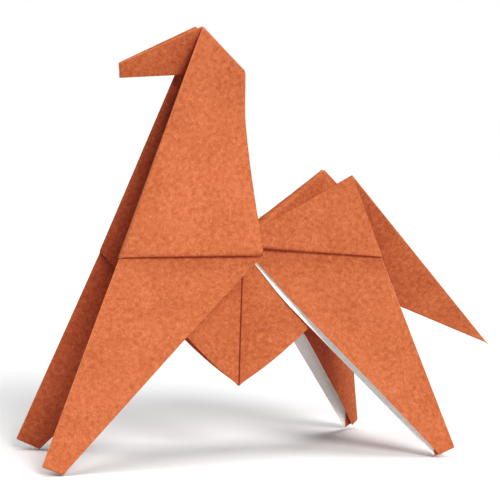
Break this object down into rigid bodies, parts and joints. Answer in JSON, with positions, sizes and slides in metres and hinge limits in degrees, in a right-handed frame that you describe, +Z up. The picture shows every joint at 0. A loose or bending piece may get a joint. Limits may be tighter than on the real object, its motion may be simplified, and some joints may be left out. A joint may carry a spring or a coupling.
{
  "type": "origami horse",
  "caption": "Standing horse of folded and cut paper, with a reverse-folded head and tail, open V-section legs and a pointed belly.",
  "frame": {"origin": "under the middle of the bounding box, on the surface that the feet stand on", "axes": "+X from head to tail, +Z up, -Y towards the near side"},
  "size_m": [0.1144, 0.0426, 0.0935],
  "materials": {
    "paper_sheet": "matt terracotta on one side, white on the other"
  },
  "bodies": {
    "root": {"folded_horse": "paper_sheet"}
  },
  "joints": []
}
